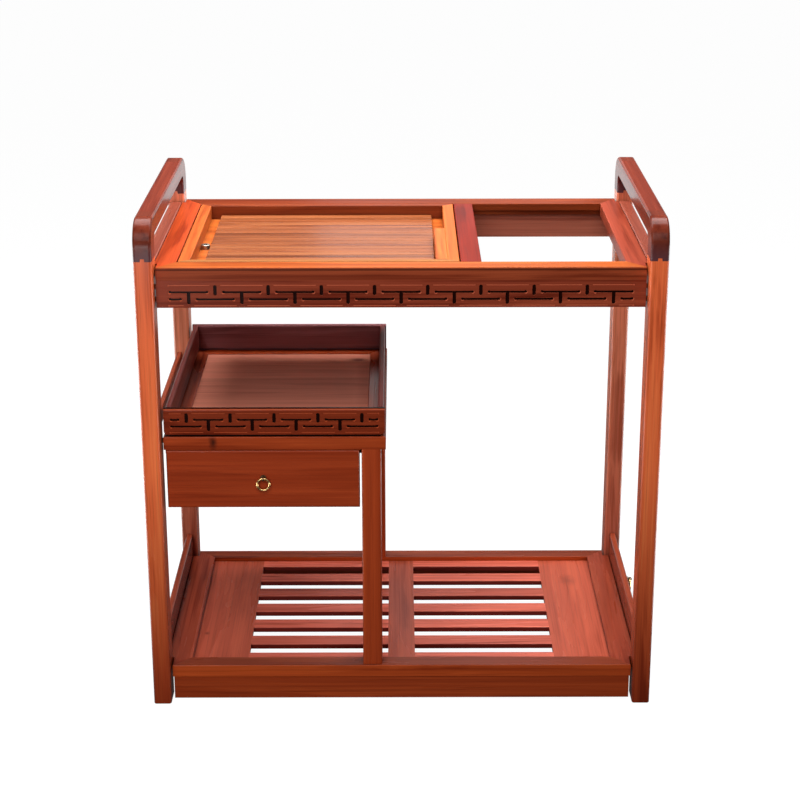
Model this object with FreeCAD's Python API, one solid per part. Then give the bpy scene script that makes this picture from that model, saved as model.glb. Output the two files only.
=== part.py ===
import FreeCAD, Part
import os

# A tea table with a handle arch over each end. Millimetres, +X right, +Y towards the back, +Z up.
# The origin is on the floor under the middle of the table.

# Overall
WIDTH = 800.0
DEPTH = 500.0
HEIGHT = 798.0
HANDLE_RISE = 75.0

# Fits
FIT = 0.5
REST_GAP = 0.4

# Legs
LEG_WIDE = 28.0
LEG_DEEP = 44.0
LEG_ROUND = 4.0
FOOT_ROUND = 1.5
LEG_ABOVE_DECK = 14.0
TONGUE_ROOT = 7.0
TONGUE_TIP = 5.6
TONGUE_HIGH = 4.5

# Handles
HANDLE_HIGH = 31.0
HANDLE_OUTER_ROUND = 40.0
HANDLE_INNER_ROUND = 14.0
HANDLE_CORNER_RUN = 70.0
HANDLE_TENON_LONG = 14.0
HANDLE_TENON_SHARE = 0.4

# Side rails
UPPER_RAIL_THICK = 21.0
UPPER_RAIL_HIGH = 63.0
LOWER_RAIL_THICK = 10.4
LOWER_RAIL_HIGH = 54.0
LOWER_RAIL_LAP = 11.0
MIDDLE_RAIL_THICK = 9.0
MIDDLE_RAIL_HIGH = 24.0
MIDDLE_RAIL_INSET = 4.7
RAIL_ROUND = 3.0
TENON_LONG = 16.0
TENON_THICK = 7.0
TENON_SHOULDER_SHARE = 0.2

# Frames between the legs
FRAME_GAP = 2.0
FRONT_SETBACK = 20.0
BACK_SETBACK = 23.0
EDGE_ROUND = 1.5

# Top frame
TOP_THICK = 20.0
TOP_FRONT_WIDE = 34.0
TOP_BACK_WIDE = 40.0
TOP_SIDE_WIDE = 28.5
TOP_MIDDLE_WIDE = 32.0
TRAY_OPENING_WIDE = 432.0
STOVE_LIP_HIGH = 12.0
STOVE_REBATE = 5.0
STUB_LONG = 10.0
STUB_SHARE = 0.4

# Aprons under the top
APRON_HIGH = 43.0
APRON_THICK = 18.0
BACK_APRON_INSET = 3.0

# Carved meander, shared by the front apron and the gallery front
APRON_SPANS = 8.75
APRON_LOW_SLOTS = 9
APRON_HIGH_SLOTS = 8
APRON_CARVE_MARGIN = 19.0
GALLERY_SPANS = 4.75
GALLERY_LOW_SLOTS = 4
GALLERY_HIGH_SLOTS = 5
GALLERY_CARVE_MARGIN = 10.0
SLOT_WIDE = 5.4
GROOVE_WIDE = 3.6
GROOVE_DEEP = 2.5
GROOVE_BREAK = 10.5
ROUND_END_SHARE = 0.999
DOT_RADIUS = 3.0
DOT_TIP_RADIUS = 1.2
DOT_DEEP = 3.0
LINE_WIDE = 1.2
LINE_DEEP = 0.4
LINE_BREAK = 8.0
LINE_DOT_RADIUS = 1.5
LINE_DOT_DEEP = 1.5
LOW_SLOT_FROM_SHARE = 0.125
LOW_SLOT_TO_SHARE = 0.585
HIGH_SLOT_FROM_SHARE = 0.445
HIGH_SLOT_TO_SHARE = 0.835
HIGH_GROOVE_SHARE = 0.57
LOW_GROOVE_SHARE = 0.31
HIGH_LINE_SHARE = 0.825
LOW_LINE_SHARE = 0.085

# Tea tray
TRAY_SIDE_GAP = 1.5
TRAY_FRONT_GAP = 2.5
TRAY_BACK_GAP = 1.0
TRAY_HIGH = 34.6
TRAY_END_RIM = 18.0
TRAY_FRONT_RIM = 12.5
TRAY_BACK_RIM = 12.5
TRAY_FLOOR_DROP = 23.0
TRAY_FLOOR_THICK = 8.0
TRAY_FLOOR_LAP = 4.0
TRAY_CHANNEL_WIDE = 17.0
TRAY_STRIP_WIDE = 18.0
TRAY_STRIP_LONG = 195.0
TRAY_ROUND = 1.5
CLEAT_HIGH = 12.0
CLEAT_LAP = 8.0

# Drain board
DRAIN_SLATS = 20
DRAIN_SLAT_THICK = 4.0
DRAIN_SLAT_GAP = 0.7
DRAIN_SLAT_ROUND = 0.8
DRAIN_BEARERS = 3
DRAIN_BEARER_WIDE = 20.0
DRAIN_BEARER_THICK = 2.6
DRAIN_BEARER_EDGE = 24.0

# Drain outlet
OUTLET_FORWARD = 24.0
OUTLET_RADIUS = 7.2
OUTLET_HIGH = 7.5
OUTLET_BORE_RADIUS = 3.0
OUTLET_TAIL_RADIUS = 5.0
OUTLET_TAIL_LONG = 13.0
OUTLET_ROUND = 1.5

# Hanging shelf
SHELF_TOP = 452.0
SHELF_THICK = 21.0
SHELF_WIDE = 345.0
SHELF_GAP = 3.0
SHELF_RAIL_WIDE = 30.0
SHELF_RECESS = 2.0
SHELF_PANEL_THICK = 8.0
PANEL_LAP = 8.0

# Gallery on the shelf
GALLERY_HIGH = 42.0
GALLERY_THICK = 11.0
GALLERY_LIFT = 4.0
GALLERY_INSET = 1.5
GALLERY_SIDE_THICK = 9.0
GALLERY_SIDE_INSET = 2.0
GALLERY_FOOT_INSET = 3.0
GALLERY_ROUND = 3.5
GALLERY_CORNER = 6.0

# Posts
POST_WIDE = 31.0
POST_INSET = 7.0
POST_BACK_INSET = 4.0
POST_ROUND = 3.0

# Drawer
DRAWER_HIGH = 96.0
DRAWER_TOP_GAP = 1.0
DRAWER_LEFT_GAP = 6.0
DRAWER_RIGHT_GAP = 3.0
DRAWER_FRONT_THICK = 18.0
DRAWER_BOARD_THICK = 10.0
DRAWER_DEEP = 392.0
DRAWER_SIDE_RISE = 6.0
DRAWER_BOTTOM_RISE = 4.0
DRAWER_BOTTOM_THICK = 6.0
DRAWER_BOTTOM_LAP = 5.0
DRAWER_BACK_DROP = 6.0
RUNNER_HIGH = 14.0
RUNNER_WEB = 4.0
RUNNER_TOE = 8.0
RUNNER_TOE_HIGH = 4.0
RUNNER_SETBACK = 22.0
LIP_HIGH = 6.0
LIP_WIDE = 8.0
LIP_SIDE_GAP = 2.0

# Ring pulls: one on the drawer and one on the right lower rail
PULL_RISE = 2.5
PULL_RING_RADIUS = 9.5
PULL_WIRE_RADIUS = 1.7
PULL_EYE_RADIUS = 3.0
PULL_EYE_WIRE = 0.9
PULL_STANDOFF = 4.9
PULL_PLATE_RADIUS = 4.6
PULL_PLATE_THICK = 1.5
PULL_SHANK_RADIUS = 1.6
PULL_SHANK_LONG = 12.0
RAIL_PULL_SHANK = 7.0
RAIL_PULL_DROP = 7.0
RAIL_PULL_BACK = 18.7

# Bottom shelf
BASE_TOP = 61.0
BASE_THICK = 20.0
BASE_FORWARD = 4.0
BASE_RAIL_WIDE = 30.0
BASE_RECESS = 8.0
BASE_PANEL_THICK = 8.0
BASE_END_BOARD = 90.0
BASE_MIDDLE_BOARD = 44.0
BASE_FRONT_SLAT = 32.5
BASE_BACK_SLAT = 26.0
BASE_SLOTS = 6
BASE_SLOT_WIDE = 29.0
SLAT_ROUND = 1.5
SLAT_TONGUE = 6.0
SLAT_TONGUE_SHARE = 0.5
BASE_APRON_CLEAR = 2.0
BASE_APRON_INSET = 1.0
BASE_APRON_END = 2.0
BASE_APRON_ROUND = 0.6

# Dowels between frames and legs, and between the base and the lower side rails
DOWEL_RADIUS = 4.0
DOWEL_IN_FRAME = 20.0
DOWEL_IN_LEG_SHARE = 0.27
DOWEL_LOW_SHARE = 0.27
DOWEL_HIGH_SHARE = 0.73
BASE_DOWEL_RADIUS = 2.0
BASE_DOWEL_SPREAD = 100.0
BASE_DOWEL_SHARE = 0.6

V = FreeCAD.Vector
X_AXIS = V(1, 0, 0)
Y_AXIS = V(0, 1, 0)
Z_AXIS = V(0, 0, 1)
HERE = V(0, 0, 0)

# Planes worked out from the sizes above
deck_top = HEIGHT - HANDLE_RISE
leg_in = WIDTH / 2 - LEG_WIDE
leg_mid = WIDTH / 2 - LEG_WIDE / 2
leg_y = DEPTH / 2 - LEG_DEEP
leg_top = deck_top + LEG_ABOVE_DECK
frame_x = leg_in - FRAME_GAP
frame_front = -DEPTH / 2 + FRONT_SETBACK
frame_back = DEPTH / 2 - BACK_SETBACK
top_under = deck_top - TOP_THICK
apron_bottom = top_under - APRON_HIGH
apron_front_in = frame_front + APRON_THICK
apron_back_out = frame_back - BACK_APRON_INSET
apron_back_in = apron_back_out - APRON_THICK
top_x = frame_x - TOP_SIDE_WIDE
top_front_in = frame_front + TOP_FRONT_WIDE
top_back_in = frame_back - TOP_BACK_WIDE
middle_left = -top_x + TRAY_OPENING_WIDE
middle_right = middle_left + TOP_MIDDLE_WIDE
tray_x0 = -top_x + TRAY_SIDE_GAP
tray_x1 = middle_left - TRAY_SIDE_GAP
tray_y0 = top_front_in + TRAY_FRONT_GAP
tray_y1 = top_back_in - TRAY_BACK_GAP
tray_bottom = deck_top - TRAY_HIGH
tray_in_x0 = tray_x0 + TRAY_END_RIM
tray_in_x1 = tray_x1 - TRAY_END_RIM
tray_in_y0 = tray_y0 + TRAY_FRONT_RIM
tray_in_y1 = tray_y1 - TRAY_BACK_RIM
tray_floor = deck_top - TRAY_FLOOR_DROP
shelf_x0 = -leg_in + SHELF_GAP
shelf_x1 = shelf_x0 + SHELF_WIDE
shelf_under = SHELF_TOP - SHELF_THICK
gallery_x0 = shelf_x0 + GALLERY_INSET
gallery_x1 = shelf_x1 - GALLERY_INSET
gallery_bottom = SHELF_TOP + GALLERY_LIFT
gallery_top = gallery_bottom + GALLERY_HIGH
post_x1 = shelf_x1 - POST_INSET
post_x0 = post_x1 - POST_WIDE
drawer_x0 = -leg_in + DRAWER_LEFT_GAP
drawer_x1 = post_x0 - DRAWER_RIGHT_GAP
drawer_top = shelf_under - DRAWER_TOP_GAP
drawer_bottom_z = drawer_top - DRAWER_HIGH
drawer_box_front = frame_front + DRAWER_FRONT_THICK
drawer_box_back = drawer_box_front + DRAWER_DEEP
runner_left = shelf_x0
runner_right = post_x0
lip_reach = RUNNER_WEB + LIP_SIDE_GAP + LIP_WIDE
side_left = runner_left + lip_reach
side_right = runner_right - lip_reach
lip_bottom = shelf_under - RUNNER_HIGH + RUNNER_TOE_HIGH + FIT
side_top = lip_bottom + LIP_HIGH
side_bottom = drawer_bottom_z + DRAWER_SIDE_RISE
pull_x = (drawer_x0 + drawer_x1) / 2
pull_z = (drawer_top + drawer_bottom_z) / 2 + PULL_RISE
rail_in = leg_mid - LOWER_RAIL_THICK / 2
rail_out = leg_mid + LOWER_RAIL_THICK / 2
lower_rail_bottom = BASE_TOP - LOWER_RAIL_LAP
top_wing_x = leg_mid - UPPER_RAIL_THICK / 2 - FIT
base_under = BASE_TOP - BASE_THICK
base_front = frame_front - BASE_FORWARD
base_in_x = frame_x - BASE_RAIL_WIDE
base_in_y0 = base_front + BASE_RAIL_WIDE
base_in_y1 = frame_back - BASE_RAIL_WIDE
base_wing_x = rail_in - FIT
wing_y = leg_y - FRAME_GAP
base_panel_top = BASE_TOP - BASE_RECESS
base_panel_under = base_panel_top - BASE_PANEL_THICK
base_board_x = base_in_x - BASE_END_BOARD
dowel_in_leg = LEG_WIDE * DOWEL_IN_LEG_SHARE


def box(x0, x1, y0, y1, z0, z1):
    return Part.makeBox(x1 - x0, y1 - y0, z1 - z0, V(x0, y0, z0))


def near(a, b):
    return abs(a - b) < FIT / LEG_WIDE


def soften(shape, radius, wanted):
    """Rounds the straight or curved edges whose two ends both pass the test."""
    edges = [e for e in shape.Edges if e.Vertexes and all(wanted(v.Point) for v in e.Vertexes)
             and wanted(e.valueAt((e.FirstParameter + e.LastParameter) / 2))]
    return shape.makeFillet(radius, edges)


def long_edges(shape, radius, axis, lower=True):
    """Rounds the edges that run along one axis; lower=False keeps the underside square."""
    floor = shape.BoundBox.ZMin
    edges = []
    for e in shape.Edges:
        run = e.Vertexes[-1].Point - e.Vertexes[0].Point
        if abs(run.normalize().dot(axis)) < 1 - FIT / LEG_WIDE:
            continue
        if not lower and near(e.Vertexes[0].Point.z, floor):
            continue
        edges.append(e)
    return shape.makeFillet(radius, edges)


def prism(points, direction):
    return Part.Face(Part.makePolygon(points + points[:1])).extrude(direction)


def flip_x(shape):
    return shape.mirror(HERE, X_AXIS)


def flip_y(shape):
    return shape.mirror(HERE, Y_AXIS)


def mitred(x0, x1, y0, y1, left, right, front, back, z0, z1):
    """Four rails with mitred corners, in the order front, back, left, right."""
    outer = [(x0, y0), (x1, y0), (x1, y1), (x0, y1)]
    inner = [(x0 + left, y0 + front), (x1 - right, y0 + front), (x1 - right, y1 - back), (x0 + left, y1 - back)]
    rise = V(0, 0, z1 - z0)
    rails = {}
    for name, a, b in (("front", 0, 1), ("right", 1, 2), ("back", 2, 3), ("left", 3, 0)):
        ring = [V(*outer[a], z0), V(*outer[b], z0), V(*inner[b], z0), V(*inner[a], z0)]
        rails[name] = prism(ring, rise)
    return rails


def ease_top(shape, radius, z):
    """Rounds the long top edges of a mitred rail, not the ends that meet the next rail."""
    edges = []
    for e in shape.Edges:
        a, b = e.Vertexes[0].Point, e.Vertexes[-1].Point
        straight = near(a.x, b.x) or near(a.y, b.y)
        if straight and near(a.z, z) and near(b.z, z):
            edges.append(e)
    return shape.makeFillet(radius, edges)


def side_tenons(x, thick, z0, z1):
    """The two tenon blocks of a side rail, centred on x."""
    shoulder = (z1 - z0) * TENON_SHOULDER_SHARE
    back = box(x - thick / 2, x + thick / 2, leg_y, leg_y + TENON_LONG, z0 + shoulder, z1 - shoulder)
    return [flip_y(back), back]


def upper_rail_z():
    return deck_top - UPPER_RAIL_HIGH, deck_top


def lower_rail_z():
    return lower_rail_bottom, lower_rail_bottom + LOWER_RAIL_HIGH


def middle_rail_z():
    return SHELF_TOP - MIDDLE_RAIL_HIGH, SHELF_TOP


def middle_rail_x():
    return WIDTH / 2 - MIDDLE_RAIL_INSET - MIDDLE_RAIL_THICK / 2


def rail_tenons(left):
    tenons = side_tenons(leg_mid, TENON_THICK, *upper_rail_z()) + side_tenons(leg_mid, TENON_THICK, *lower_rail_z())
    if left:
        tenons += side_tenons(middle_rail_x(), TENON_THICK, *middle_rail_z())
    return tenons


def side_rail(x, thick, z0, z1):
    rail = box(x - thick / 2, x + thick / 2, -leg_y, leg_y, z0, z1)
    rail = long_edges(rail, RAIL_ROUND, Y_AXIS)
    return rail.fuse(side_tenons(x, TENON_THICK, z0, z1)).removeSplitter()


def dowel(side, y, z, frame_end):
    """A dowel along X from inside a frame's end into the leg; side is +1 right or -1 left."""
    start = frame_end - DOWEL_IN_FRAME
    end = leg_in + dowel_in_leg
    pin = Part.makeCylinder(DOWEL_RADIUS, end - start, V(start, y, z), X_AXIS)
    return pin if side > 0 else flip_x(pin)


def dowel_seats():
    apron_mid_y = (frame_front + apron_front_in) / 2
    back_mid_y = (apron_back_in + apron_back_out) / 2
    seats = []
    for side in (-1, 1):
        for share in (DOWEL_LOW_SHARE, DOWEL_HIGH_SHARE):
            seats.append((side, apron_mid_y, apron_bottom + APRON_HIGH * share, frame_x))
            seats.append((side, back_mid_y, apron_bottom + APRON_HIGH * share, frame_x))
    mid_z = (SHELF_TOP + shelf_under) / 2
    seats.append((-1, frame_front + SHELF_RAIL_WIDE / 2, mid_z, -shelf_x0))
    seats.append((-1, frame_back - SHELF_RAIL_WIDE / 2, mid_z, -shelf_x0))
    return seats


def dowels():
    return [dowel(*seat) for seat in dowel_seats()]


def base_dowels():
    """Short dowels from the base's side rails into the lower side rails."""
    start, end = base_wing_x - DOWEL_IN_FRAME, rail_in + LOWER_RAIL_THICK * BASE_DOWEL_SHARE
    z = (lower_rail_bottom + RAIL_ROUND + BASE_TOP - EDGE_ROUND) / 2
    pins = []
    for y in (-BASE_DOWEL_SPREAD, BASE_DOWEL_SPREAD):
        pin = Part.makeCylinder(BASE_DOWEL_RADIUS, end - start, V(start, y, z), X_AXIS)
        pins += [pin, flip_x(pin)]
    return pins


def tongue():
    """The tongue on top of the right front leg, running through its depth."""
    root, tip = TONGUE_ROOT / 2, TONGUE_TIP / 2
    points = [V(leg_mid - root, -DEPTH / 2, leg_top), V(leg_mid + root, -DEPTH / 2, leg_top),
              V(leg_mid + tip, -DEPTH / 2, leg_top + TONGUE_HIGH), V(leg_mid - tip, -DEPTH / 2, leg_top + TONGUE_HIGH)]
    return prism(points, V(0, LEG_DEEP, 0))


def leg(left, back):
    post = box(leg_in, WIDTH / 2, -DEPTH / 2, -leg_y, 0, leg_top)
    post = long_edges(post, LEG_ROUND, Z_AXIS)
    post = soften(post, FOOT_ROUND, lambda p: near(p.z, 0))
    post = post.fuse(tongue()).removeSplitter().cut(rail_tenons(left))
    if left:
        post = flip_x(post)
    if back:
        post = flip_y(post)
    return post.cut(dowels())


def handle_corner():
    """The curved piece over the right front leg, from the leg top round to the bar."""
    y0, y1 = -DEPTH / 2, -leg_y
    end = y0 + HANDLE_CORNER_RUN
    under = HEIGHT - HANDLE_HIGH
    big, small = HANDLE_OUTER_ROUND, HANDLE_INNER_ROUND
    turn = 2 ** 0.5 / 2
    wire = [
        Part.makeLine(V(leg_in, y0, leg_top), V(leg_in, y0, HEIGHT - big)),
        Part.Arc(V(leg_in, y0, HEIGHT - big), V(leg_in, y0 + big - big * turn, HEIGHT - big + big * turn),
                 V(leg_in, y0 + big, HEIGHT)).toShape(),
        Part.makeLine(V(leg_in, y0 + big, HEIGHT), V(leg_in, end, HEIGHT)),
        Part.makeLine(V(leg_in, end, HEIGHT), V(leg_in, end, under)),
        Part.makeLine(V(leg_in, end, under), V(leg_in, y1 + small, under)),
        Part.Arc(V(leg_in, y1 + small, under), V(leg_in, y1 + small - small * turn, under - small + small * turn),
                 V(leg_in, y1, under - small)).toShape(),
        Part.makeLine(V(leg_in, y1, under - small), V(leg_in, y1, leg_top)),
        Part.makeLine(V(leg_in, y1, leg_top), V(leg_in, y0, leg_top)),
    ]
    body = Part.Face(Part.Wire(wire)).extrude(V(LEG_WIDE, 0, 0))
    edges = []
    for e in body.Edges:
        points = [v.Point for v in e.Vertexes]
        on_side = all(near(p.x, leg_in) for p in points) or all(near(p.x, WIDTH / 2) for p in points)
        at_joint = all(near(p.z, leg_top) for p in points) or all(near(p.y, end) for p in points)
        if on_side and not at_joint:
            edges.append(e)
    body = body.makeFillet(LEG_ROUND, edges)
    return body.cut([tongue()] + handle_tenons(-1))


def handle_tenons(*ends):
    wide, high = LEG_WIDE * HANDLE_TENON_SHARE, HANDLE_HIGH * HANDLE_TENON_SHARE
    mid_z = HEIGHT - HANDLE_HIGH / 2
    face = DEPTH / 2 - HANDLE_CORNER_RUN
    back = box(leg_mid - wide / 2, leg_mid + wide / 2, face, face + HANDLE_TENON_LONG, mid_z - high / 2, mid_z + high / 2)
    return [back if end > 0 else flip_y(back) for end in ends]


def handle_bar():
    reach = DEPTH / 2 - HANDLE_CORNER_RUN
    bar = box(leg_in, WIDTH / 2, -reach, reach, HEIGHT - HANDLE_HIGH, HEIGHT)
    bar = long_edges(bar, LEG_ROUND, Y_AXIS)
    return bar.fuse(handle_tenons(-1, 1)).removeSplitter()


def with_wings(rails, x1, z0, z1):
    """Gives the side rails of a frame a wing each that reaches out between the legs."""
    wing = box(frame_x, x1, -wing_y, wing_y, z0, z1)
    rails["right"] = rails["right"].fuse(wing).removeSplitter()
    rails["left"] = rails["left"].fuse(flip_x(wing)).removeSplitter()
    return rails


def top_rails():
    rails = mitred(-frame_x, frame_x, frame_front, frame_back, TOP_SIDE_WIDE, TOP_SIDE_WIDE,
                   TOP_FRONT_WIDE, TOP_BACK_WIDE, top_under, deck_top)
    rails = with_wings(rails, top_wing_x, top_under, deck_top)
    rails = {name: ease_top(rail, EDGE_ROUND, deck_top) for name, rail in rails.items()}
    stubs = middle_stubs()
    rebate = box(middle_right, top_x, top_back_in, top_back_in + STOVE_REBATE, top_under, deck_top - STOVE_LIP_HIGH)
    rails["front"] = rails["front"].cut(stubs)
    rails["back"] = rails["back"].cut(stubs + [rebate])
    return rails


def middle_stubs():
    high = TOP_THICK * STUB_SHARE
    mid_z = deck_top - TOP_THICK / 2
    x0 = middle_left + TOP_MIDDLE_WIDE * TENON_SHOULDER_SHARE
    x1 = middle_right - TOP_MIDDLE_WIDE * TENON_SHOULDER_SHARE
    front = box(x0, x1, top_front_in - STUB_LONG, top_front_in, mid_z - high / 2, mid_z + high / 2)
    back = box(x0, x1, top_back_in, top_back_in + STUB_LONG, mid_z - high / 2, mid_z + high / 2)
    return [front, back]


def top_middle_rail():
    rail = box(middle_left, middle_right, top_front_in, top_back_in, top_under, deck_top)
    rail = long_edges(rail, EDGE_ROUND, Y_AXIS, lower=False)
    return rail.fuse(middle_stubs()).removeSplitter()


def capsule(x0, x1, z0, z1, face, deep):
    """A round-ended groove cutter on the front face at y=face, running along X or Z."""
    radius = min(x1 - x0, z1 - z0) / 2
    core = box(x0, x1, face, face + deep, z0, z1)
    ends = [e for e in core.Edges if near(e.Vertexes[0].Point.x, e.Vertexes[-1].Point.x)
            and near(e.Vertexes[0].Point.z, e.Vertexes[-1].Point.z)]
    return core.makeFillet(radius * ROUND_END_SHARE, ends)


def dot(x, z, radius, face, deep):
    return Part.makeCylinder(radius, deep, V(x, face, z), Y_AXIS)


def groove(x0, x1, z, face):
    """A level groove with a countersunk dot at each of its two ends."""
    radius = GROOVE_WIDE / 2
    ends = [Part.makeCone(DOT_RADIUS, DOT_TIP_RADIUS, DOT_DEEP, V(x, face, z), Y_AXIS)
            for x in (x0 + radius, x1 - radius)]
    return [capsule(x0, x1, z - radius, z + radius, face, GROOVE_DEEP), *ends]


def row_pieces(x0, x1, stops, gap):
    """Splits a row into segments that leave a gap around every stop."""
    marks = [x0]
    for stop in stops:
        marks += [stop - gap, stop + gap]
    marks.append(x1)
    return [(a, b) for a, b in zip(marks[::2], marks[1::2]) if b > a]


def meander(x0, x1, spans, lows, highs, margin, z0, high, face):
    """Cutters for the carved band on a board from x0 to x1 whose underside is at z0."""
    pitch = (x1 - x0 - 2 * margin) / spans
    mid = (x0 + x1) / 2
    low_x = [mid + pitch * (k - (lows - 1) / 2) for k in range(lows)]
    high_x = [mid + pitch * (k - (highs - 1) / 2) for k in range(highs)]
    start, end = x0 + margin, x1 - margin
    half = SLOT_WIDE / 2
    cutters = []
    uprights = ((low_x, LOW_SLOT_FROM_SHARE, LOW_SLOT_TO_SHARE), (high_x, HIGH_SLOT_FROM_SHARE, HIGH_SLOT_TO_SHARE))
    for places, low, top in uprights:
        cutters += [capsule(x - half, x + half, z0 + high * low, z0 + high * top, face, GROOVE_DEEP) for x in places]
    rows = ((HIGH_GROOVE_SHARE, high_x), (LOW_GROOVE_SHARE, low_x))
    for share, stops in rows:
        z = z0 + high * share
        for a, b in row_pieces(start, end, stops, GROOVE_BREAK):
            cutters += groove(a, b, z, face)
    lines = ((HIGH_LINE_SHARE, high_x), (LOW_LINE_SHARE, low_x))
    for share, stops in lines:
        z = z0 + high * share
        cutters += [dot(x, z, LINE_DOT_RADIUS, face, LINE_DOT_DEEP) for x in (start, end)]
        for a, b in row_pieces(start, end, stops, LINE_BREAK):
            cutters.append(capsule(a, b, z - LINE_WIDE / 2, z + LINE_WIDE / 2, face, LINE_DEEP))
    return cutters


def front_apron():
    board = box(-frame_x, frame_x, frame_front, apron_front_in, apron_bottom, top_under)
    board = soften(board, EDGE_ROUND, lambda p: near(p.z, apron_bottom) and near(p.y, frame_front))
    carving = meander(-frame_x, frame_x, APRON_SPANS, APRON_LOW_SLOTS, APRON_HIGH_SLOTS, APRON_CARVE_MARGIN,
                      apron_bottom, APRON_HIGH, frame_front)
    return board.cut(carving + dowels())


def back_apron():
    board = box(-frame_x, frame_x, apron_back_in, apron_back_out, apron_bottom, top_under)
    board = soften(board, EDGE_ROUND, lambda p: near(p.z, apron_bottom) and near(p.y, apron_back_out))
    return board.cut(dowels())


def tray_cleats():
    top = tray_bottom - REST_GAP
    front = box(-top_x, middle_left, apron_front_in, tray_y0 + CLEAT_LAP, top - CLEAT_HIGH, top)
    back = box(-top_x, middle_left, tray_y1 - CLEAT_LAP, apron_back_in, top - CLEAT_HIGH, top)
    return [front, back]


def tray_floor_board():
    lap = TRAY_FLOOR_LAP
    return box(tray_in_x0 - lap, tray_in_x1 + lap, tray_in_y0 - lap, tray_in_y1 + lap,
               tray_floor - TRAY_FLOOR_THICK, tray_floor)


def outlet_place():
    return V(tray_in_x0 + TRAY_CHANNEL_WIDE / 2, (tray_in_y0 + tray_in_y1) / 2 - OUTLET_FORWARD, tray_floor)


def tray_floor_piece():
    at = outlet_place()
    hole = Part.makeCylinder(OUTLET_TAIL_RADIUS, TRAY_FLOOR_THICK, V(at.x, at.y, tray_floor - TRAY_FLOOR_THICK))
    return tray_floor_board().cut(hole)


def drain_outlet():
    at = outlet_place()
    cap = Part.makeCylinder(OUTLET_RADIUS, OUTLET_HIGH, at)
    cap = cap.makeFillet(OUTLET_ROUND, [e for e in cap.Edges if near(e.BoundBox.ZMin, tray_floor + OUTLET_HIGH)])
    tail = Part.makeCylinder(OUTLET_TAIL_RADIUS, OUTLET_TAIL_LONG, V(at.x, at.y, tray_floor - OUTLET_TAIL_LONG))
    bore = Part.makeCylinder(OUTLET_BORE_RADIUS, OUTLET_TAIL_LONG + OUTLET_HIGH,
                             V(at.x, at.y, tray_floor - OUTLET_TAIL_LONG))
    return cap.fuse(tail).cut(bore).removeSplitter()


def tray_rims():
    rims = mitred(tray_x0, tray_x1, tray_y0, tray_y1, TRAY_END_RIM, TRAY_END_RIM, TRAY_FRONT_RIM, TRAY_BACK_RIM,
                  tray_bottom, deck_top)
    rims = {name: ease_top(rim, TRAY_ROUND, deck_top) for name, rim in rims.items()}
    board = tray_floor_board()
    return {name: rim.cut(board) for name, rim in rims.items()}


def tray_side_strip():
    x0 = tray_in_x1 - TRAY_STRIP_WIDE
    strip = box(x0, tray_in_x1, tray_in_y0, tray_in_y0 + TRAY_STRIP_LONG, tray_floor, deck_top)
    return soften(strip, TRAY_ROUND, lambda p: near(p.x, x0) and near(p.z, deck_top))


def drain_span():
    return (tray_in_x0 + TRAY_CHANNEL_WIDE, tray_in_x1 - TRAY_STRIP_WIDE - FIT,
            tray_in_y0 + FIT, tray_in_y1 - FIT)


def drain_under():
    return tray_floor + REST_GAP + DRAIN_BEARER_THICK


def drain_slats():
    x0, x1, y0, y1 = drain_span()
    pitch = (y1 - y0 + DRAIN_SLAT_GAP) / DRAIN_SLATS
    slats = []
    for k in range(DRAIN_SLATS):
        start = y0 + k * pitch
        slat = box(x0, x1, start, start + pitch - DRAIN_SLAT_GAP, drain_under(), drain_under() + DRAIN_SLAT_THICK)
        slats.append(ease_top(slat, DRAIN_SLAT_ROUND, drain_under() + DRAIN_SLAT_THICK))
    return slats


def drain_bearers():
    x0, x1, y0, y1 = drain_span()
    first = x0 + DRAIN_BEARER_EDGE
    last = x1 - DRAIN_BEARER_EDGE - DRAIN_BEARER_WIDE
    step = (last - first) / (DRAIN_BEARERS - 1)
    return [box(first + k * step, first + k * step + DRAIN_BEARER_WIDE, y0, y1, tray_floor + REST_GAP, drain_under())
            for k in range(DRAIN_BEARERS)]


def shelf_panel():
    lap = PANEL_LAP - SHELF_RAIL_WIDE
    top = SHELF_TOP - SHELF_RECESS
    return box(shelf_x0 - lap, shelf_x1 + lap, frame_front - lap, frame_back + lap, top - SHELF_PANEL_THICK, top)


def shelf_rails():
    wide = SHELF_RAIL_WIDE
    rails = mitred(shelf_x0, shelf_x1, frame_front, frame_back, wide, wide, wide, wide, shelf_under, SHELF_TOP)
    cutters = [shelf_panel()] + dowels()
    return {name: ease_top(rail, EDGE_ROUND, SHELF_TOP).cut(cutters) for name, rail in rails.items()}


def gallery_wall(x0, x1, y0, y1, axis):
    """A gallery board on a narrower foot, which leaves a shadow line above the shelf."""
    board = box(x0, x1, y0, y1, gallery_bottom, gallery_top)
    board = long_edges(board, GALLERY_ROUND, axis, lower=False)
    inset = GALLERY_FOOT_INSET
    across_x = 0 if axis.x else inset
    across_y = inset if axis.x else 0
    foot = box(x0 + across_x, x1 - across_x, y0 + across_y, y1 - across_y, SHELF_TOP, gallery_bottom)
    return board.fuse(foot).removeSplitter()


def gallery_front():
    x0, x1 = gallery_x0, gallery_x1
    y0, y1 = frame_front, frame_front + GALLERY_THICK
    board = box(x0, x1, y0, y1, gallery_bottom, gallery_top)
    board = soften(board, GALLERY_CORNER, lambda p: near(p.z, gallery_bottom) and (near(p.x, x0) or near(p.x, x1)))
    board = soften(board, GALLERY_ROUND, lambda p: near(p.z, gallery_top) and (near(p.y, y0) or near(p.y, y1)))
    inset = GALLERY_FOOT_INSET
    foot = box(x0 + GALLERY_CORNER, x1 - GALLERY_CORNER, y0 + inset, y1 - inset, SHELF_TOP, gallery_bottom)
    carving = meander(x0, x1, GALLERY_SPANS, GALLERY_LOW_SLOTS, GALLERY_HIGH_SLOTS, GALLERY_CARVE_MARGIN,
                      gallery_bottom, GALLERY_HIGH, y0)
    return board.fuse(foot).removeSplitter().cut(carving)


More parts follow.
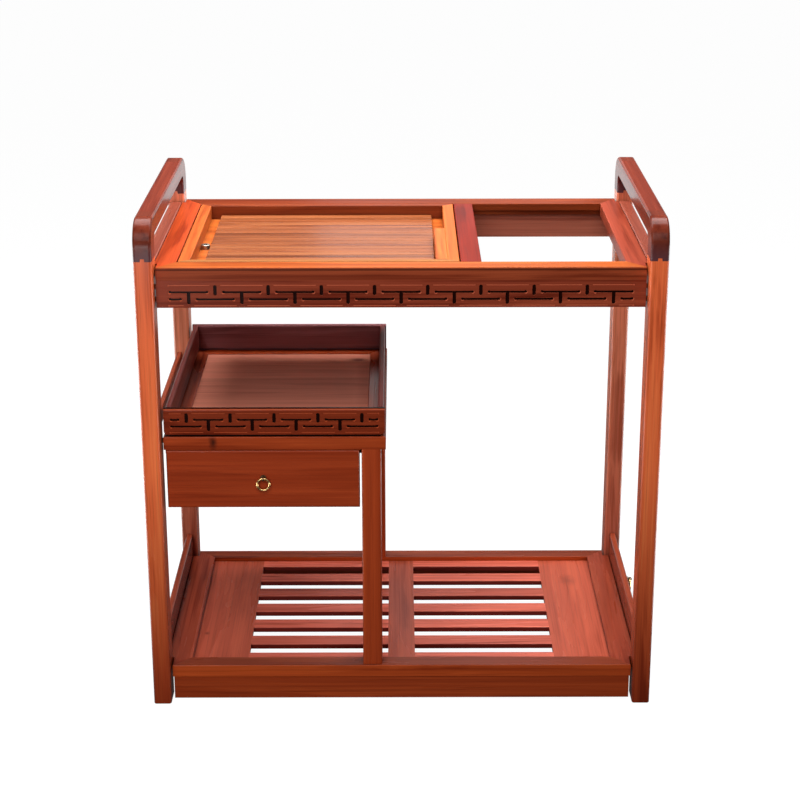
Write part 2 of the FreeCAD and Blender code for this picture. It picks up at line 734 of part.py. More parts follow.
def gallery_back():
    return gallery_wall(gallery_x0, gallery_x1, frame_back - GALLERY_THICK, frame_back, X_AXIS)


def gallery_side(x0):
    return gallery_wall(x0, x0 + GALLERY_SIDE_THICK, frame_front + GALLERY_THICK, frame_back - GALLERY_THICK, Y_AXIS)


def drawer_bottom_board():
    lap = DRAWER_BOTTOM_LAP
    z0 = side_bottom + DRAWER_BOTTOM_RISE
    return box(side_left + DRAWER_BOARD_THICK - lap, side_right - DRAWER_BOARD_THICK + lap,
               drawer_box_front - lap, drawer_box_back, z0, z0 + DRAWER_BOTTOM_THICK)


def drawer_front():
    board = box(drawer_x0, drawer_x1, frame_front, drawer_box_front, drawer_bottom_z, drawer_top)
    board = soften(board, RAIL_ROUND, lambda p: near(p.y, frame_front))
    return board.cut([drawer_bottom_board(), moved(pull_pin(PULL_SHANK_LONG), pull_at())])


def drawer_side(left):
    x0 = side_left if left else side_right - DRAWER_BOARD_THICK
    side = box(x0, x0 + DRAWER_BOARD_THICK, drawer_box_front, drawer_box_back, side_bottom, side_top)
    lip_x = side_left - LIP_WIDE if left else side_right
    lip = box(lip_x, lip_x + LIP_WIDE, drawer_box_front, drawer_box_back, lip_bottom, side_top)
    return side.fuse(lip).removeSplitter().cut(drawer_bottom_board())


def drawer_back():
    bottom = side_bottom + DRAWER_BOTTOM_RISE + DRAWER_BOTTOM_THICK
    return box(side_left + DRAWER_BOARD_THICK, side_right - DRAWER_BOARD_THICK,
               drawer_box_back - DRAWER_BOARD_THICK, drawer_box_back, bottom, side_top - DRAWER_BACK_DROP)


def drawer_runner(left):
    """An L-shaped runner whose toe carries the lip of the drawer side."""
    y0, y1 = frame_front + RUNNER_SETBACK, frame_back - RUNNER_SETBACK
    bottom = shelf_under - RUNNER_HIGH
    web_x = runner_left if left else runner_right - RUNNER_WEB
    toe_x = runner_left if left else runner_right - RUNNER_WEB - RUNNER_TOE
    web = box(web_x, web_x + RUNNER_WEB, y0, y1, bottom, shelf_under)
    toe = box(toe_x, toe_x + RUNNER_WEB + RUNNER_TOE, y0, y1, bottom, bottom + RUNNER_TOE_HIGH)
    return web.fuse(toe).removeSplitter()


def pull_pin(length):
    return Part.makeCylinder(PULL_SHANK_RADIUS, length, HERE, Y_AXIS)


def pull_eye(shank_long):
    """A plate, a shank and an eye; the plate lies on y=0 and the eye stands out towards -Y."""
    plate = Part.makeCylinder(PULL_PLATE_RADIUS, PULL_PLATE_THICK, HERE, -Y_AXIS)
    neck = Part.makeCylinder(PULL_SHANK_RADIUS, PULL_STANDOFF - PULL_EYE_RADIUS, HERE, -Y_AXIS)
    eye = Part.makeTorus(PULL_EYE_RADIUS, PULL_EYE_WIRE, V(0, -PULL_STANDOFF, 0), X_AXIS)
    return plate.fuse([neck, eye, pull_pin(shank_long)]).removeSplitter()


def pull_ring():
    return Part.makeTorus(PULL_RING_RADIUS, PULL_WIRE_RADIUS, V(0, -PULL_STANDOFF, -PULL_RING_RADIUS), Y_AXIS)


def moved(shape, at):
    copy = shape.copy()
    copy.translate(at)
    return copy


def pull_at():
    return V(pull_x, frame_front, pull_z)


def on_rail(shape):
    """Turns a pull so that it stands on the outer face of the right lower rail."""
    copy = shape.copy()
    copy.rotate(HERE, Z_AXIS, 90)
    copy.translate(V(rail_out, RAIL_PULL_BACK, lower_rail_bottom + LOWER_RAIL_HIGH - RAIL_PULL_DROP))
    return copy


def shelf_post(x1, y0, y1):
    post = box(x1 - POST_WIDE, x1, y0, y1, BASE_TOP, shelf_under)
    return long_edges(post, POST_ROUND, Z_AXIS)


def shelf_posts():
    return [shelf_post(post_x1, frame_front, base_in_y0),
            shelf_post(shelf_x1 - POST_BACK_INSET, base_in_y1, frame_back)]


def base_slat_rows():
    """Start and end of every slat across the depth; the first and last lie along the frame rails."""
    y0, y1 = base_in_y0, base_in_y1
    slotted = y1 - y0 - BASE_FRONT_SLAT - BASE_BACK_SLAT
    slat = (slotted - BASE_SLOTS * BASE_SLOT_WIDE) / (BASE_SLOTS - 1)
    rows = [(y0 - PANEL_LAP, y0 + BASE_FRONT_SLAT)]
    for k in range(BASE_SLOTS - 1):
        start = y0 + BASE_FRONT_SLAT + BASE_SLOT_WIDE + k * (slat + BASE_SLOT_WIDE)
        rows.append((start, start + slat))
    rows.append((y1 - BASE_BACK_SLAT, y1 + PANEL_LAP))
    return rows


def base_slats():
    tongue_high = BASE_PANEL_THICK * SLAT_TONGUE_SHARE
    tongue_z = base_panel_top - BASE_PANEL_THICK / 2 - tongue_high / 2
    half = BASE_MIDDLE_BOARD / 2
    slats = []
    for x0, x1 in ((-base_board_x, -half), (half, base_board_x)):
        for y0, y1 in base_slat_rows():
            slat = box(x0, x1, y0, y1, base_panel_under, base_panel_top)
            slat = soften_slat(slat, y0, y1)
            tenon = box(x0 - SLAT_TONGUE, x1 + SLAT_TONGUE, y0 + SLAT_ROUND, y1 - SLAT_ROUND,
                        tongue_z, tongue_z + tongue_high)
            slats.append(slat.fuse(tenon).removeSplitter())
    return slats


def soften_slat(slat, y0, y1):
    """Rounds the top edges of a slat that face a slot."""
    def faces_slot(p):
        inside = base_in_y0 < p.y < base_in_y1
        return inside and near(p.z, base_panel_top) and (near(p.y, y0) or near(p.y, y1))
    return soften(slat, SLAT_ROUND, faces_slot)


def base_board(x0, x1):
    return box(x0, x1, base_in_y0 - PANEL_LAP, base_in_y1 + PANEL_LAP, base_panel_under, base_panel_top)


def base_boards():
    half = BASE_MIDDLE_BOARD / 2
    spans = ((-base_in_x - PANEL_LAP, -base_board_x), (-half, half), (base_board_x, base_in_x + PANEL_LAP))
    slats = base_slats()
    return [base_board(*span).cut(slats) for span in spans]


def base_rails():
    wide = BASE_RAIL_WIDE
    rails = mitred(-frame_x, frame_x, base_front, frame_back, wide, wide, wide, wide, base_under, BASE_TOP)
    rails = with_wings(rails, base_wing_x, base_under, BASE_TOP)
    field = box(-base_in_x - PANEL_LAP, base_in_x + PANEL_LAP, base_in_y0 - PANEL_LAP, base_in_y1 + PANEL_LAP,
                base_panel_under, base_panel_top)
    cutters = [field] + base_dowels()
    return {name: ease_top(rail, EDGE_ROUND, BASE_TOP).cut(cutters) for name, rail in rails.items()}


def base_aprons():
    y0, y1 = base_front + BASE_APRON_INSET, frame_back - BASE_APRON_INSET
    reach = frame_x - BASE_APRON_END
    front = box(-reach, reach, y0, y0 + APRON_THICK, BASE_APRON_CLEAR, base_under)
    back = box(-reach, reach, y1 - APRON_THICK, y1, BASE_APRON_CLEAR, base_under)
    return [long_edges(board, BASE_APRON_ROUND, X_AXIS) for board in (front, back)]


def pieces():
    """Every piece of the table by the name of its file."""
    top = top_rails()
    rims = tray_rims()
    shelf = shelf_rails()
    base = base_rails()
    corner = handle_corner()
    bar = handle_bar()
    upper = side_rail(leg_mid, UPPER_RAIL_THICK, *upper_rail_z())
    lower = side_rail(leg_mid, LOWER_RAIL_THICK, *lower_rail_z()).cut(base_dowels())
    middle = side_rail(middle_rail_x(), MIDDLE_RAIL_THICK, *middle_rail_z())
    return {
        "leg_front_left": leg(True, False),
        "leg_front_right": leg(False, False),
        "leg_back_left": leg(True, True),
        "leg_back_right": leg(False, True),
        "handle_bar_left": flip_x(bar),
        "handle_bar_right": bar,
        "handle_corner_front_left": flip_x(corner),
        "handle_corner_front_right": corner,
        "handle_corner_back_left": flip_y(flip_x(corner)),
        "handle_corner_back_right": flip_y(corner),
        "upper_rail_left": flip_x(upper),
        "upper_rail_right": upper,
        "lower_rail_left": flip_x(lower),
        "lower_rail_right": lower.cut(on_rail(pull_pin(RAIL_PULL_SHANK))),
        "middle_rail_left": flip_x(middle),
        "top_front_rail": top["front"],
        "top_back_rail": top["back"],
        "top_left_rail": top["left"],
        "top_right_rail": top["right"],
        "top_middle_rail": top_middle_rail(),
        "front_apron": front_apron(),
        "back_apron": back_apron(),
        "tray_cleats": tray_cleats(),
        "tray_front_rim": rims["front"],
        "tray_back_rim": rims["back"],
        "tray_left_rim": rims["left"],
        "tray_right_rim": rims["right"],
        "tray_floor": tray_floor_piece(),
        "tray_side_strip": tray_side_strip(),
        "drain_outlet": drain_outlet(),
        "drain_slats": drain_slats(),
        "drain_bearers": drain_bearers(),
        "shelf_front_rail": shelf["front"],
        "shelf_back_rail": shelf["back"],
        "shelf_left_rail": shelf["left"],
        "shelf_right_rail": shelf["right"],
        "shelf_panel": shelf_panel(),
        "gallery_front": gallery_front(),
        "gallery_back": gallery_back(),
        "gallery_left": gallery_side(gallery_x0 + GALLERY_SIDE_INSET),
        "gallery_right": gallery_side(gallery_x1 - GALLERY_SIDE_INSET - GALLERY_SIDE_THICK),
        "drawer_front": drawer_front(),
        "drawer_sides": [drawer_side(True), drawer_side(False)],
        "drawer_back": drawer_back(),
        "drawer_bottom": drawer_bottom_board(),
        "drawer_runners": [drawer_runner(True), drawer_runner(False)],
        "drawer_pull_eye": moved(pull_eye(PULL_SHANK_LONG), pull_at()),
        "drawer_pull_ring": moved(pull_ring(), pull_at()),
        "shelf_posts": shelf_posts(),
        "base_front_rail": base["front"],
        "base_back_rail": base["back"],
        "base_left_rail": base["left"],
        "base_right_rail": base["right"],
        "base_aprons": base_aprons(),
        "base_boards": base_boards(),
        "base_slats": base_slats(),
        "frame_dowels": dowels() + base_dowels(),
        "rail_pull_eye": on_rail(pull_eye(RAIL_PULL_SHANK)),
        "rail_pull_ring": on_rail(pull_ring()),
    }


os.makedirs("parts", exist_ok=True)
for node, shape in pieces().items():
    if isinstance(shape, list):
        shape = Part.makeCompound(shape)
    elif len(shape.Solids) == 1:
        shape = shape.Solids[0]
    shape.exportStep("parts/" + node + ".step")
    print(node, len(shape.Solids), round(shape.Volume), shape.isValid())
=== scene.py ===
import math

import bpy
from mathutils import Matrix, Vector

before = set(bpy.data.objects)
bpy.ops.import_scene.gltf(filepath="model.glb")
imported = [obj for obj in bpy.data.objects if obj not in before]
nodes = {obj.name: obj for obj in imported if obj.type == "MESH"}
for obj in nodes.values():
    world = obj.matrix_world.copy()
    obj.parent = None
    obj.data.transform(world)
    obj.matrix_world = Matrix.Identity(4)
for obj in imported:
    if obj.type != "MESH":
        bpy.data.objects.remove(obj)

# Metres, +X right, +Y towards the back, +Z up, origin on the floor under the middle of the table.

for default_name in ("Cube", "Light", "Camera"):
    if default_name in bpy.data.objects:
        bpy.data.objects.remove(bpy.data.objects[default_name])

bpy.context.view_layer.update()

# Camera
CAMERA_PLACE = (-0.0059, -2.985, 1.4648)
CAMERA_PITCH_DOWN = 19.073
CAMERA_YAW = 0.081
CAMERA_ROLL = -0.086
CAMERA_LENS = 85.27
CAMERA_SENSOR = 36.0
CAMERA_REACH = 400.0

# Floor
FLOOR_SIZE = 160.0
FLOOR_GLOW = 0.96
FLOOR_TONE = (0.12, 0.12, 0.12)
FLOOR_ROUGHNESS = 0.9
FLOOR_MOTTLE_SCALE = 3.0
FLOOR_MOTTLE_DETAIL = 2.0
FLOOR_MOTTLE_LIFT = (1.02, 1.02, 1.02)

# Room light: brighter upwards, with a low pale strip at the back
SKY_HEIGHTS = (-0.2, 0.8)
SKY_GLOWS = (0.10, 0.24)
STRIP_FROM = (0.30, 0.50)
STRIP_LOW = (-0.30, -0.22)
STRIP_HIGH = (0.0, 0.06)
STRIP_GLOW = 1.4

# Each softbox: name, place, what it is aimed at, width, height, power, and whether it only gives highlights
SOFTBOXES = (
    ("overhead_softbox", (0.0, 0.20, 1.75), (0.0, 0.20, 0.0), 2.0, 0.8, 50.0, False),
    ("front_softbox", (-0.20, -1.35, 1.55), (-0.05, -0.2, 0.62), 1.6, 0.8, 15.5, False),
    ("low_softbox", (-0.70, -1.90, 0.50), (-0.30, 0.20, 0.50), 0.5, 0.4, 6.0, False),
    ("back_panel", (0.14, 2.2, 1.28), (0.0, 0.0, 0.72), 0.75, 0.5, 1.2, False),
    ("left_panel", (-1.9, 0.1, -0.1), (-0.4, 0.1, 0.3), 2.6, 0.9, 70.0, True),
    ("right_panel", (1.9, 0.1, -0.1), (0.4, 0.1, 0.3), 2.6, 0.9, 70.0, True),
)

# Wood grain: pattern sizes per metre across the grain, noise settings, and each layer's share of the tone
GRAIN_STRETCH = {"X": (0.09, 1.0, 1.0), "Y": (1.0, 0.09, 1.0), "Z": (1.0, 1.0, 0.09)}
AXIS_NUMBER = {"X": 0, "Y": 1, "Z": 2}
FIGURE_SCALE = 24.0
FIGURE_NOISE = (4.0, 0.55, 0.6)
RING_SCALE = 26.0
RING_BEND = 3.2
STREAK_SCALE = 190.0
STREAK_NOISE = (3.0, 0.6)
FIBRE_SCALE = 800.0
FIBRE_NOISE = (2.0, 0.6)
FIGURE_SHARE = 0.52
RING_SHARE = 0.10
STREAK_SHARE = 0.38
TONE_PLACES = (0.34, 0.50, 0.66)
DARK_STEP = (0.42, 0.55, 0.58)
LIGHT_STEP = (0.30, 0.45, 0.45)
PORE_RANGE = (0.30, 0.46)
PORE_SHADE = 0.72
PLANK_JUMP = 7.31
PLANK_SHADES = (0.84, 1.12)
# Painted shade: wood darkened where the occlusion node finds another surface close by, in seams, corners
# and under parts
PAINTED_SHADE_DISTANCE = 0.012
PAINTED_SHADE_RANGE = (0.15, 0.75)
PAINTED_SEAM_SHADE = 0.45
PAINTED_SHADE_SAMPLES = 6
SEED_STEP = (1.7, 2.3, 3.1)

# Carving with its painted highlights and shade, painted light on upward faces, the painted shadow line,
# knots and gloss
# The carving's pale rims are painted highlights, and its nearly black floors are painted shade
CARVED_RIMS = (0.0001, 0.0004)
CARVED_RIM_HIGHLIGHT = (2.2, 2.9, 3.2)
CARVED_FLOORS = (0.0017, 0.0023)
CARVED_FLOOR_SHADE = (0.05, 0.04, 0.04)
# Upward faces that get the painted light and shade of a look's top tint
PAINTED_LIGHT_FACING = (0.55, 0.85)
# How soft the edges of the painted shadow line are
SHADOW_LINE_BLUR = 0.0005
KNOT_TONE = (0.012, 0.004, 0.003)
KNOT_WOBBLE_SCALE = 90.0
KNOT_WOBBLE_DETAIL = 2.0
KNOT_WOBBLE = 0.8
KNOT_RINGS = (0.5, 1.5)
WOOD_ROUGHNESS = 0.26
WOOD_SPECULAR = 0.12
WOOD_COAT = 0.04
COAT_ROUGHNESS = 0.08
ROUGH_FIGURE = (0.3, 0.7)
ROUGH_STEPS = (-0.04, 0.05)
BUMP_DISTANCE = 0.00025
BUMP_STRENGTH = 0.22
BUMP_FIBRE_SHARE = 0.6

# Metal: cloudy stains, fine specks, and what the stains do to tone and roughness
CLOUD_SCALE = 260.0
CLOUD_DETAIL = 3.0
CLOUD_RANGE = (0.3, 0.7)
SPECK_SCALE = 1400.0
SPECK_DETAIL = 2.0
METAL_TONE_PLACES = (0.28, 0.50, 0.80)
METAL_DARK = (0.45, 0.38, 0.30)
METAL_LIGHT = (1.12, 1.12, 1.15)
METAL_ROUGH_STEPS = (-0.06, 0.10)
METAL_BUMP_DISTANCE = 0.0001
METAL_BUMP_STRENGTH = 0.25

# What a look can hold besides specular, coat, rough and contrast:
# plank (axis, first edge, pitch): boards side by side, each with a grain and shade of its own
# foot (height, tint): painted shade, the wood darkened towards the floor
# top (tint): painted light and shade, upward faces made lighter or darker by the tint to stand in for how
# light falls on them
# line (low, high, shade): a painted shadow, a dark level band between two heights under an edge
# carved (Y of the face): painted highlights on the rims and painted shade on the floors of the carving
# behind it
# joint (low, high, stain): a greyer tint below the low height, fading to the plain wood above the high one
# knots: the dark spots on the piece
MATT = {"specular": 0.12, "coat": 0.0, "rough": 0.5}
SATIN = {"specular": 0.06, "coat": 0.02, "rough": 0.36}
GLOSSY = {"specular": 0.09, "coat": 0.05, "rough": 0.22}
CARVED_FACE = -0.230


def linear(colour):
    """Turns a screen colour of 0 to 255 into linear light, by the sRGB curve."""
    return tuple(((part / 255.0 + 0.055) / 1.055) ** 2.4 for part in colour)


def scaled(colour, factors):
    return tuple(min(1.0, part * factor) for part, factor in zip(colour, factors))


def add(tree, kind, inputs=None, **settings):
    made = tree.nodes.new(kind)
    for name, value in settings.items():
        setattr(made, name, value)
    for name, value in (inputs or {}).items():
        if isinstance(value, bpy.types.NodeSocket):
            tree.links.new(value, made.inputs[name])
        else:
            made.inputs[name].default_value = value
    return made


def maths(tree, how, first, second=0.0):
    return add(tree, "ShaderNodeMath", {0: first, 1: second}, operation=how).outputs[0]


def product(tree, *values):
    total = values[0]
    for value in values[1:]:
        total = maths(tree, "MULTIPLY", total, value)
    return total


def spread(tree, value, limits, out_low=0.0, out_high=1.0):
    """Maps the value from its two limits to the two outputs, and holds it there beyond them."""
    low, high = limits
    inputs = {"Value": value, "From Min": low, "From Max": high, "To Min": out_low, "To Max": out_high}
    return add(tree, "ShaderNodeMapRange", inputs, clamp=True).outputs["Result"]


def vectors(tree, how, first, second):
    return add(tree, "ShaderNodeVectorMath", {0: first, 1: second}, operation=how).outputs[0]


def blended(tree, share, first, second, how="MIX"):
    made = add(tree, "ShaderNodeMix", data_type="RGBA", blend_type=how)
    for index, value in ((0, share), (6, first), (7, second)):
        if isinstance(value, bpy.types.NodeSocket):
            tree.links.new(value, made.inputs[index])
        elif index == 0:
            made.inputs[index].default_value = value
        else:
            made.inputs[index].default_value = (*value[:3], 1.0)
    return made.outputs[2]


def shaded(tree, colour, value):
    grey = add(tree, "ShaderNodeCombineColor", {0: value, 1: value, 2: value}).outputs[0]
    return blended(tree, 1.0, colour, grey, "MULTIPLY")


def ramp(tree, value, stops):
    made = add(tree, "ShaderNodeValToRGB", {"Fac": value})
    bar = made.color_ramp
    bar.interpolation = "EASE"
    while len(bar.elements) < len(stops):
        bar.elements.new(0.5)
    for element, (place, colour) in zip(bar.elements, stops):
        element.position = place
        element.color = (*colour[:3], 1.0)
    return made.outputs["Color"]


def noise(tree, vector, scale, detail, roughness=0.55, distortion=0.0):
    inputs = {
        "Vector": vector,
        "Scale": scale,
        "Detail": detail,
        "Roughness": roughness,
        "Distortion": distortion,
    }
    return add(tree, "ShaderNodeTexNoise", inputs).outputs["Fac"]


def new_material(name):
    material = bpy.data.materials.new(name)
    material.use_nodes = True
    tree = material.node_tree
    tree.nodes.clear()
    out = add(tree, "ShaderNodeOutputMaterial")
    shader = add(tree, "ShaderNodeBsdfPrincipled")
    tree.links.new(shader.outputs[0], out.inputs["Surface"])
    return material, tree, shader


def plank_number(tree, parts, plank):
    axis, start, pitch = plank
    offset = maths(tree, "SUBTRACT", parts.outputs[AXIS_NUMBER[axis]], start)
    return maths(tree, "FLOOR", maths(tree, "DIVIDE", offset, pitch))


def growth_rings(tree, parts, grain, figure):
    first_way = "Y" if grain == "X" else "X"
    second_way = "Y" if grain == "Z" else "Z"
    across = maths(tree, "ADD", parts.outputs[first_way], parts.outputs[second_way])
    turns = maths(tree, "ADD", product(tree, across, RING_SCALE), product(tree, figure, RING_BEND))
    return spread(tree, maths(tree, "SINE", product(tree, turns, 2.0 * math.pi)), (-1.0, 1.0))


def knotted(tree, place, colour, knot):
    centre, radius, squash, strength = knot
    away = vectors(tree, "MULTIPLY", vectors(tree, "SUBTRACT", place, centre), squash)
    far = add(tree, "ShaderNodeVectorMath", {0: away}, operation="LENGTH").outputs["Value"]
    wobble = product(tree, noise(tree, place, KNOT_WOBBLE_SCALE, KNOT_WOBBLE_DETAIL), radius * KNOT_WOBBLE)
    rings = tuple(radius * part for part in KNOT_RINGS)
    share = spread(tree, maths(tree, "ADD", far, wobble), rings, strength, 0.0)
    return blended(tree, share, colour, KNOT_TONE)


def tinted(tree, colour, share, tint):
    return blended(tree, share, colour, blended(tree, 1.0, colour, tint, "MULTIPLY"))


def painted_shadow_line(tree, parts, colour, line):
    """A painted shadow: a dark line along the level edge of a piece, between two heights."""
    low, high, shade = line
    above = spread(tree, parts.outputs["Z"], (low - SHADOW_LINE_BLUR, low + SHADOW_LINE_BLUR))
    below = spread(tree, parts.outputs["Z"], (high - SHADOW_LINE_BLUR, high + SHADOW_LINE_BLUR), 1.0, 0.0)
    return tinted(tree, colour, product(tree, above, below), (shade, shade, shade))


# Paints highlights just inside the carving's rims, and shade on its floors
def carved(tree, parts, colour, tone, face):
    for depths, tint in ((CARVED_RIMS, CARVED_RIM_HIGHLIGHT), (CARVED_FLOORS, CARVED_FLOOR_SHADE)):
        limits = tuple(face + depth for depth in depths)
        colour = blended(tree, spread(tree, parts.outputs["Y"], limits), colour, scaled(tone, tint))
    return colour


def grain_layers(tree, place, parts, grain, seed, number):
    """The broad figure, fine streaks, pores and growth rings, each stretched along the grain."""
    shifted = vectors(tree, "ADD", place, tuple(seed * step for step in SEED_STEP))
    if number is not None:
        jump = product(tree, number, PLANK_JUMP)
        jumps = add(tree, "ShaderNodeCombineXYZ", {0: jump, 1: jump, 2: jump}).outputs[0]
        shifted = vectors(tree, "ADD", shifted, jumps)
    stretched = vectors(tree, "MULTIPLY", shifted, GRAIN_STRETCH[grain])
    finer = vectors(tree, "MULTIPLY", stretched, GRAIN_STRETCH[grain])
    figure = noise(tree, stretched, FIGURE_SCALE, *FIGURE_NOISE)
    streak = noise(tree, finer, STREAK_SCALE, *STREAK_NOISE)
    fibre = noise(tree, finer, FIBRE_SCALE, *FIBRE_NOISE)
    return figure, streak, fibre, growth_rings(tree, parts, grain, figure)


def grained(tree, tone, contrast, layers):
    figure, streak, fibre, rings = layers
    mixed = maths(tree, "ADD", product(tree, figure, FIGURE_SHARE), product(tree, rings, RING_SHARE))
    mixed = maths(tree, "ADD", mixed, product(tree, streak, STREAK_SHARE))
    dark = scaled(tone, tuple(1.0 - step * contrast for step in DARK_STEP))
    light = scaled(tone, tuple(1.0 + step * contrast for step in LIGHT_STEP))
    colour = ramp(tree, mixed, tuple(zip(TONE_PLACES, (dark, tone, light))))
    return shaded(tree, colour, spread(tree, fibre, PORE_RANGE, PORE_SHADE, 1.0))


def boarded(tree, colour, number):
    """Gives each board its own shade, and paints shade into seams, corners and crevices where other
    surfaces are close.
    """
    if number is not None:
        white = add(tree, "ShaderNodeTexWhiteNoise", {"W": number}, noise_dimensions="1D")
        lift = white.outputs["Value"]
        colour = shaded(tree, colour, spread(tree, lift, (0.0, 1.0), *PLANK_SHADES))
    # Painted shade: darker where the occlusion node finds surfaces close by
    inputs = {"Distance": PAINTED_SHADE_DISTANCE}
    seam = add(tree, "ShaderNodeAmbientOcclusion", inputs, samples=PAINTED_SHADE_SAMPLES).outputs["AO"]
    return shaded(tree, colour, spread(tree, seam, PAINTED_SHADE_RANGE, PAINTED_SEAM_SHADE, 1.0))


def marked(tree, place, parts, colour, tone, look):
    """Adds the foot, top, line, carved, joint and knots of a look: painted shade at the foot, painted light
    and shade on upward faces, a painted shadow line, painted highlights and shade in the carving, the joint
    tint, and knots.
    """
    # Painted shade: the wood darkened towards the floor, below the foot height
    if "foot" in look:
        height, tint = look["foot"]
        colour = tinted(tree, colour, spread(tree, parts.outputs["Z"], (0.0, height), 1.0, 0.0), tint)
    # Painted light and shade: upward faces tinted lighter or darker
    if "top" in look:
        normal = add(tree, "ShaderNodeNewGeometry").outputs["True Normal"]
        upward = add(tree, "ShaderNodeSeparateXYZ", {0: normal}).outputs["Z"]
        colour = tinted(tree, colour, spread(tree, upward, PAINTED_LIGHT_FACING), look["top"])
    if "line" in look:
        colour = painted_shadow_line(tree, parts, colour, look["line"])
    if "carved" in look:
        colour = carved(tree, parts, colour, tone, look["carved"])
    if "joint" in look:
        low, high, stain = look["joint"]
        above_joint = spread(tree, parts.outputs["Z"], (low, high))
        colour = blended(tree, above_joint, scaled(tone, stain), colour)
    for knot in look.get("knots", ()):
        colour = knotted(tree, place, colour, knot)
    return colour


def surface(tree, shader, colour, roughness, bump_inputs):
    bump = add(tree, "ShaderNodeBump", bump_inputs).outputs["Normal"]
    tree.links.new(colour, shader.inputs["Base Color"])
    tree.links.new(roughness, shader.inputs["Roughness"])
    tree.links.new(bump, shader.inputs["Normal"])


def wood(name, tone, grain, seed, look):
    """A lacquered wood whose grain runs along one axis; look holds what differs from the usual finish."""
    material, tree, shader = new_material(name)
    place = add(tree, "ShaderNodeTexCoord").outputs["Object"]
    parts = add(tree, "ShaderNodeSeparateXYZ", {0: place})
    number = plank_number(tree, parts, look["plank"]) if "plank" in look else None
    layers = grain_layers(tree, place, parts, grain, seed, number)
    colour = grained(tree, tone, look.get("contrast", 1.0), layers)
    colour = boarded(tree, colour, number)
    colour = marked(tree, place, parts, colour, tone, look)
    figure, streak, fibre, _ = layers
    rough = look.get("rough", WOOD_ROUGHNESS)
    roughness = spread(tree, figure, ROUGH_FIGURE, *(rough + step for step in ROUGH_STEPS))
    height = maths(tree, "ADD", streak, product(tree, fibre, BUMP_FIBRE_SHARE))
    bump_inputs = {"Height": height, "Distance": BUMP_DISTANCE, "Strength": BUMP_STRENGTH}
    surface(tree, shader, colour, roughness, bump_inputs)
    shader.inputs["Specular IOR Level"].default_value = look.get("specular", WOOD_SPECULAR)
    shader.inputs["Coat Weight"].default_value = look.get("coat", WOOD_COAT)
    shader.inputs["Coat Roughness"].default_value = COAT_ROUGHNESS
    return material


def metal(name, tone, rough, stain):
    material, tree, shader = new_material(name)
    place = add(tree, "ShaderNodeTexCoord").outputs["Object"]
    cloud = noise(tree, place, CLOUD_SCALE, CLOUD_DETAIL)
    speck = noise(tree, place, SPECK_SCALE, SPECK_DETAIL)
    stained = maths(tree, "ADD", product(tree, cloud, stain), 0.5 - stain * 0.5)
    tones = (scaled(tone, METAL_DARK), tone, scaled(tone, METAL_LIGHT))
    colour = ramp(tree, stained, tuple(zip(METAL_TONE_PLACES, tones)))
    roughness = spread(tree, cloud, CLOUD_RANGE, *(rough + step for step in METAL_ROUGH_STEPS))
    bump_inputs = {"Height": speck, "Distance": METAL_BUMP_DISTANCE, "Strength": METAL_BUMP_STRENGTH}
    surface(tree, shader, colour, roughness, bump_inputs)
    shader.inputs["Metallic"].default_value = 1.0
    return material


def finish_nodes(material, names):
    for name in names:
        for slot in nodes[name].material_slots:
            slot.material = material


# Knots and dark spots: centre, radius, how much each way counts towards the distance, and strength
SHELF_EDGE_KNOT = ((-0.292, -0.230, 0.4435), 0.0075, (1.0, 0.6, 0.55), 0.85)
SHELF_FLOOR_SMUDGE = ((-0.075, 0.164, 0.450), 0.008, (0.45, 0.6, 1.0), 0.75)
RIGHT_BOARD_BLOTCH = ((0.297, 0.111, 0.053), 0.013, (0.8, 0.5, 1.0), 0.35)
LEFT_BOARD_SPECK = ((-0.327, -0.100, 0.053), 0.005, (1.0, 0.7, 1.0), 0.6)
